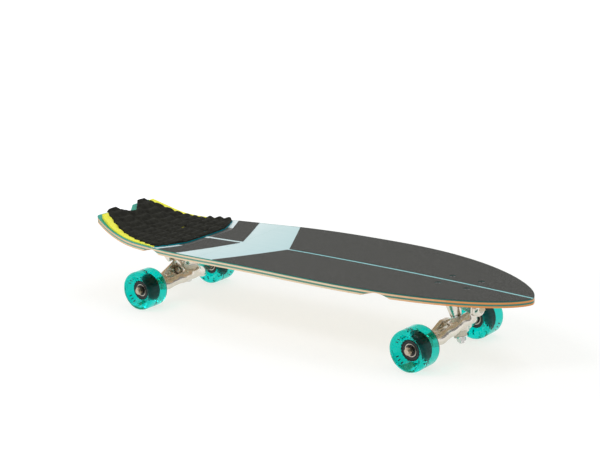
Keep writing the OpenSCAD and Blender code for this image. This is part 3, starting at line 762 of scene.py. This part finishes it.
TEETH, TOOTH_LOW, TOOTH_HIGH = 20, CORE_OUT - 2.4, CORE_OUT - 0.4
TICKS, TICK_STEP, TICK_HALF = 9, 15, 0.9
TICK_IN, TICK_OUT = 21.8, 25.0
LIP_R, DISH_REACH, DISH_DEPTH = 27.6, 9.6, FACE_Y - CORE_OUT - 2.1


def turned(profile, segments):
    return lathe(profile, (0, 0, 0), (0, 1, 0), segments)


def add_block(verts, faces, turn, *arcs):
    """A small block at an angle round the axle. An arc has a radius, a half width and two ends."""
    first = len(verts)
    for end in (2, 3):
        for arc in arcs:
            for side in (-1, 1):
                a = turn + side * arc[1] / arc[0]
                verts.append((arc[0] * math.sin(a), arc[end], arc[0] * math.cos(a)))
    sides = (0, 1, 3, 2), (4, 6, 7, 5), (2, 3, 7, 6), (0, 2, 6, 4), (1, 5, 7, 3), (0, 4, 5, 1)
    faces += [tuple(first + i for i in side) for side in sides]


def toothed_core():
    """The hub that the urethane is cast round: a ring, and teeth that key into the urethane."""
    verts, faces = turned(rounded(HUB, n=3), 96)
    for i in range(TEETH):
        foot, tip = (16.8, 1.7, TOOTH_LOW, TOOTH_HIGH), (18.6, 1.2, TOOTH_LOW, TOOTH_HIGH)
        add_block(verts, faces, 2 * math.pi * i / TEETH, foot, tip)
    return verts, faces


def face_y(r):
    """The outer face of the urethane between its lip and the hub."""
    return FACE_Y - 0.5 - (LIP_R - r) / DISH_REACH * DISH_DEPTH


def tick_marks():
    """Plain printed bars round the face, in two arcs. The lower one has a gap in its middle."""
    verts, faces = [], []
    arcs = [(r, TICK_HALF, face_y(r) - 0.1, face_y(r) + 0.06) for r in (TICK_IN, TICK_OUT)]
    for start in (0.0, math.pi):
        for i in range(TICKS):
            if start and 2 < i < 6:
                continue
            add_block(verts, faces, start + math.radians(-60 + TICK_STEP * i), *arcs)
    return verts, faces


def shield_rings():
    """Two pressed bearing seals with a step near each lip, one in each end of the hub."""
    verts, faces = [], []
    for y, out in ((CORE_OUT - 0.2, 1), (CORE_IN + 0.2, -1)):
        back, step = y - 0.5 * out, y - 0.18 * out
        lips = (6.4, y), (7.0, y), (7.3, step), (8.8, step), (9.1, y), (9.6, y)
        v, f = turned([(6.4, back), *lips, (9.6, back)], 64)
        faces += [tuple(i + len(verts) for i in q) for q in f]
        verts += v
    return verts, faces


WHEEL_PIECES = (
    ("urethane", turned(rounded(TREAD, n=4), 160), "urethane", "teal_urethane", "tyre", {}),
    ("hub", toothed_core(), "black_plastic", "black_plastic", "core", {"sharp": 35}),
    ("marks", tick_marks(), "black_plastic", "black_plastic", None, {"smooth": False}),
    (
        "seals", shield_rings(), "black_plastic", "black_plastic", "bearing_shields",
        {"sharp": 35},
    ),
)
for end, x_axle in (("front", X_FRONT), ("rear", X_REAR)):
    for side, sign in (("left", 1), ("right", -1)):
        wheel = f"{end}_{side}_wheel"
        for kind, (verts, faces), finish, slot, cad, shading in WHEEL_PIECES:
            placed = [(x_axle + x, sign * y, AXLE_Z + z) for x, y, z in verts]
            stands_for = (f"{end}_{side}_{cad}",) if cad else ()
            piece(
                f"{wheel}_{kind}", placed, faces, wheel, finish,
                replaces=stands_for, slot=slot, **shading,
            )


# ---------------------------------------------------------------- foam tail pad
PAD_FRONT, PAD_REAR = -233.0, TAIL + 12
NOTCH_TIP, NOTCH_SLOPE = -405.0, 1.21
LEAD = [(-272, 125), (-266, 105), (-255, 97), (-242, 73), (PAD_FRONT, 50)]
TRIM = [
    (-431, 51), (-415, 57), (-397, 64.5), (-377, 71.5), (-351, 78.5),
    (-327, 86), (-302, 92.5), (-266, 104), (-247, 125),
]
SCALE_X, SCALE_Y = 18.3, 34.0
SCALE_H, SCALE_DROP, SCALE_LEAN, SCALE_END = 3.6, 2.4, 0.10, 0.16
SCALLOP_X, SCALLOP_OUT, SCALLOP_DEPTH = 6, 1.2, 2.8
WELL_R = 5.6
WEDGE_BLEND, SKIN = 9.0, 0.05


def wedge_z(x, up):
    """Height of the surface that lies up above the wedge's sloping face."""
    return WEDGE_Z + up / math.cos(WEDGE) + (TAIL + 62 - x) * math.tan(WEDGE)


def between(x, points):
    return float(np.interp(x, [p[0] for p in points], [p[1] for p in points]))


def notch(x):
    return max(0.0, NOTCH_SLOPE * (NOTCH_TIP - x))


def base_width(x):
    """The base's edge, set in a little more over the last of the tail."""
    inset = 3.5 + 3 * min(1, max(0, (-395 - x) / 30))
    return min(half_width(x, inset), between(x, LEAD))


def top_width(x):
    """The trimmed edge of the grooved layer, with a scallop for each row of scales."""
    scallop = abs(math.sin(math.pi * (x - SCALLOP_X) / SCALE_X))
    w = between(x, TRIM) + SCALLOP_OUT - SCALLOP_DEPTH * scallop
    return min(half_width(x, 4.2), between(x, LEAD) - 0.3, w)


def scales(x, y):
    """Height of long pillowed scales across the board in staggered rows, 0 in the grooves to 1."""
    row = (np.abs(y) + SCALE_Y / 2) / SCALE_Y
    across = row - np.floor(row)
    lean = SCALE_LEAN * np.abs(across - 0.5) * 2
    u = x / SCALE_X + 0.5 * np.floor(row) + lean
    ridge = np.abs(np.cos(math.pi * u)) ** 1.3
    ends = np.clip(np.minimum(across, 1 - across) / SCALE_END, 0, 1)
    return ridge * ends * ends * (3 - 2 * ends)


def well_mask(x, y):
    """Where the pad is open over the rear truck's bolts."""
    mask = np.zeros(x.shape, bool)
    for side in (-1, 1):
        mask |= np.hypot(x - X_REAR - REAR_BOLTS - side * BOLT_X / 2, y - BOLT_Y / 2) < WELL_R
    return mask


def soft_edge(gap, r):
    """How far a rounded edge of that radius drops at a distance in from it."""
    d = np.clip(r - gap, 0, r)
    return r - np.sqrt(np.maximum(r * r - d * d, 0))


def foam_z(x, y, up):
    """Height of the surface that lies up above the base's upper face."""
    return smax(WEDGE_BLEND, deck_z(x, y, PAD_BASE_T + up), wedge_z(x, up))


def base_high(x, y, gap):
    return foam_z(x, y, 0.0) - soft_edge(gap, 1.0)


def base_low(x, y):
    return deck_z(x, y, SKIN)


def top_high(x, y, gap):
    relief = SCALE_H * scales(x, y) - SCALE_DROP
    return foam_z(x, y, PAD_TOP_T) + relief - soft_edge(gap, 2.0)


def top_low(x, y):
    return foam_z(x, y, 0.0) - SKIN


def pad_layer(name, width, low, high, finish, cad, pitch, rear, front):
    """A foam layer over both halves of the tail: low and high give its under and upper faces."""
    xs = np.linspace(rear, front, int((front - rear) / pitch) + 1)
    xs = np.sort(np.append(xs[np.abs(xs - NOTCH_TIP) > 0.3 * pitch], NOTCH_TIP))
    across = np.linspace(0, 1, int(100 / pitch) + 1)
    inner = np.array([notch(x) for x in xs])[:, None]
    outer = np.array([width(x) for x in xs])[:, None]
    m, k = len(xs), len(across)
    x = np.repeat(xs[:, None], k, 1)
    y = inner + (outer - inner) * across
    gap = np.minimum(np.minimum(np.abs(outer - y), x - rear), 0.7 * (front - x))
    gap = np.where(inner > 0, np.minimum(gap, y - inner), gap)
    well, bottom = well_mask(x, y), low(x, y)
    top = np.where(well, bottom, high(x, y, gap))
    verts, faces = [], []
    for sign in (1, -1):
        start = len(verts)
        for z in (top, bottom):
            verts += np.stack((x, sign * y, z), -1).reshape(-1, 3).tolist()

        def at(i, j, layer=0):
            return start + layer * m * k + i * k + j

        for i in range(m - 1):
            for j in range(k - 1):
                if well[i, j] and well[i + 1, j] and well[i + 1, j + 1] and well[i, j + 1]:
                    continue
                quad = (at(i, j), at(i + 1, j), at(i + 1, j + 1), at(i, j + 1))
                faces += [quad, tuple(v + m * k for v in quad[::-1])]
            edge = k - 1
            faces.append((at(i, edge), at(i + 1, edge), at(i + 1, edge, 1), at(i, edge, 1)))
            if inner[i, 0] > 0:
                faces.append((at(i, 0), at(i, 0, 1), at(i + 1, 0, 1), at(i + 1, 0)))
        for j in range(k - 1):
            end = m - 1
            faces.append((at(0, j), at(0, j + 1), at(0, j + 1, 1), at(0, j, 1)))
            faces.append((at(end, j), at(end, j, 1), at(end, j + 1, 1), at(end, j + 1)))
    return piece(name, verts, faces, "board", finish, sharp=42, replaces=(cad,), slot=finish)


base = pad_layer(
    "tail_pad_base", base_width, base_low, base_high, "yellow_foam", "pad_base",
    1.3, PAD_REAR, PAD_FRONT,
)
top = pad_layer(
    "tail_pad_top", top_width, top_low, top_high, "black_foam", "pad_top",
    1.0, PAD_REAR - 3.0, PAD_FRONT - 0.3,
)

# ---------------------------------------------------------------- the CAD nodes that stay
# a node takes the first finish whose key is in its name
KEPT = {
    "deck_top_veneer": "top_veneer",
    "deck_middle_veneer": "veneer",
    "deck_upper_core": "maple",
    "deck_lower_core": "maple",
    "grip": "grip",
    "deck_bolts": "black_steel",
    "deck_nuts": "steel",
    "pivot_cup": "cream",
    "kingpin": "steel",
    "cup_washers": "steel",
    "axle": "nut",
    "speed_washers": "washer",
    # speed washers and bearing inner rings take the near-black finish, painted shade of the hub's
    # bore
    "bearing_spacers": "steel",
    "bearing_inner_rings": "washer",
    "bearing_outer_rings": "ring",
}
for name, ob in node.items():
    if ob.hide_render:
        continue
    finishes = [finish for key, finish in KEPT.items() if key in name]
    if not finishes:
        raise RuntimeError("no finish for " + name)
    ob.data.materials.clear()
    ob.data.materials.append(FINISHES[finishes[0]])

# ---------------------------------------------------------------- floor, world and lamps
WHITE = (1, 1, 1)
FLOOR_HALF, FLOOR_Z = 30, -0.0003
FLOOR_MATT, FLOOR_GLOW, FLOOR_PLAIN = (0.32, 0.315, 0.355), (0.725, 0.735, 0.69), (0.85,) * 3
GLOW_NEAR, GLOW_FAR = 0.55, 1.1
ROOM = Vector((0.60, -0.75, 0.28)).normalized()
ROOM_EDGE, ROOM_HEART, ROOM_DARK = 0.45, 0.85, 0.28
WORLD_LIGHT = 0.55


def ground():
    """A floor that the camera, mirrors and glass see pale, and that throws plain light back."""
    f = Finish("floor", Roughness=0.9)
    path = f.add("LightPath").outputs
    clear = f.math("MAXIMUM", path["Is Glossy Ray"], path["Is Transmission Ray"])
    seen = f.math("MAXIMUM", path["Is Camera Ray"], clear)
    away = f.add("VectorMath", operation="LENGTH")
    f.put(away.inputs[0], f.at)
    glow = f.mix(f.span(away.outputs["Value"], GLOW_NEAR, GLOW_FAR), FLOOR_GLOW, WHITE)
    pale = f.join("AddShader", f.shader("BsdfDiffuse", FLOOR_MATT), f.shader("Emission", glow))
    plain = f.shader("BsdfDiffuse", FLOOR_PLAIN)
    f.put(f.out.inputs["Surface"], f.join("MixShader", seen, plain, pale))
    h = FLOOR_HALF
    mesh = bpy.data.meshes.new("floor")
    mesh.from_pydata([(-h, -h, 0), (h, -h, 0), (h, h, 0), (-h, h, 0)], [], [(0, 1, 2, 3)])
    mesh.materials.append(f.mat)
    floor = bpy.data.objects.new("floor", mesh)
    floor.location.z = FLOOR_Z
    scene.collection.objects.link(floor)


def surroundings():
    """White all round, but metal that faces the camera's side mirrors a darker room there."""
    world = bpy.data.worlds.new("studio")
    scene.world = world
    world.use_nodes = True
    tree = world.node_tree
    back = tree.nodes["Background"]

    def add(kind, operation=None, a=None, b=None):
        n = tree.nodes.new("ShaderNode" + kind)
        if operation:
            n.operation = operation
        for i, v in enumerate((a, b)):
            if isinstance(v, bpy.types.NodeSocket):
                tree.links.new(v, n.inputs[i])
            elif v is not None:
                n.inputs[i].default_value = v
        return n

    path = add("LightPath").outputs
    direction = add("TexCoord").outputs["Generated"]
    facing = add("VectorMath", "DOT_PRODUCT", direction, ROOM).outputs["Value"]
    room = add("MapRange")
    tree.links.new(facing, room.inputs["Value"])
    room.inputs["From Min"].default_value = ROOM_EDGE
    room.inputs["From Max"].default_value = ROOM_HEART
    room.inputs["To Min"].default_value = 1.0
    room.inputs["To Max"].default_value = ROOM_DARK
    glossy = add("Math", "MULTIPLY", path["Is Glossy Ray"], room.outputs["Result"]).outputs[0]
    plain = add("Math", "MAXIMUM", path["Is Camera Ray"], path["Is Transmission Ray"]).outputs[0]
    seen = add("Math", "MAXIMUM", glossy, plain).outputs[0]
    soft = add("Math", "MULTIPLY", path["Is Diffuse Ray"], WORLD_LIGHT).outputs[0]
    level = add("Math", "MAXIMUM", seen, soft).outputs[0]
    tree.links.new(level, back.inputs["Strength"])
    back.inputs["Color"].default_value = (*WHITE, 1)


def lamp(name, at, size, power, mirrored):
    """A soft lamp that shines at the board. Polished things show it only where mirrored is true."""
    data = bpy.data.lights.new(name, "AREA")
    data.shape, data.size, data.size_y, data.energy = "RECTANGLE", size[0], size[1], power
    ob = bpy.data.objects.new(name, data)
    ob.visible_glossy = mirrored
    ob.location = at
    aim = Vector((0, 0, 0.05)) - Vector(at)
    ob.rotation_euler = aim.to_track_quat("-Z", "Y").to_euler()
    scene.collection.objects.link(ob)


ground()
surroundings()
lamp("key", (-0.9, -1.6, 2.3), (1.2, 0.8), 22, mirrored=False)
lamp("top", (0.5, 0.7, 2.6), (1.6, 1.2), 15, mirrored=True)
scene.view_settings.view_transform = "Standard"
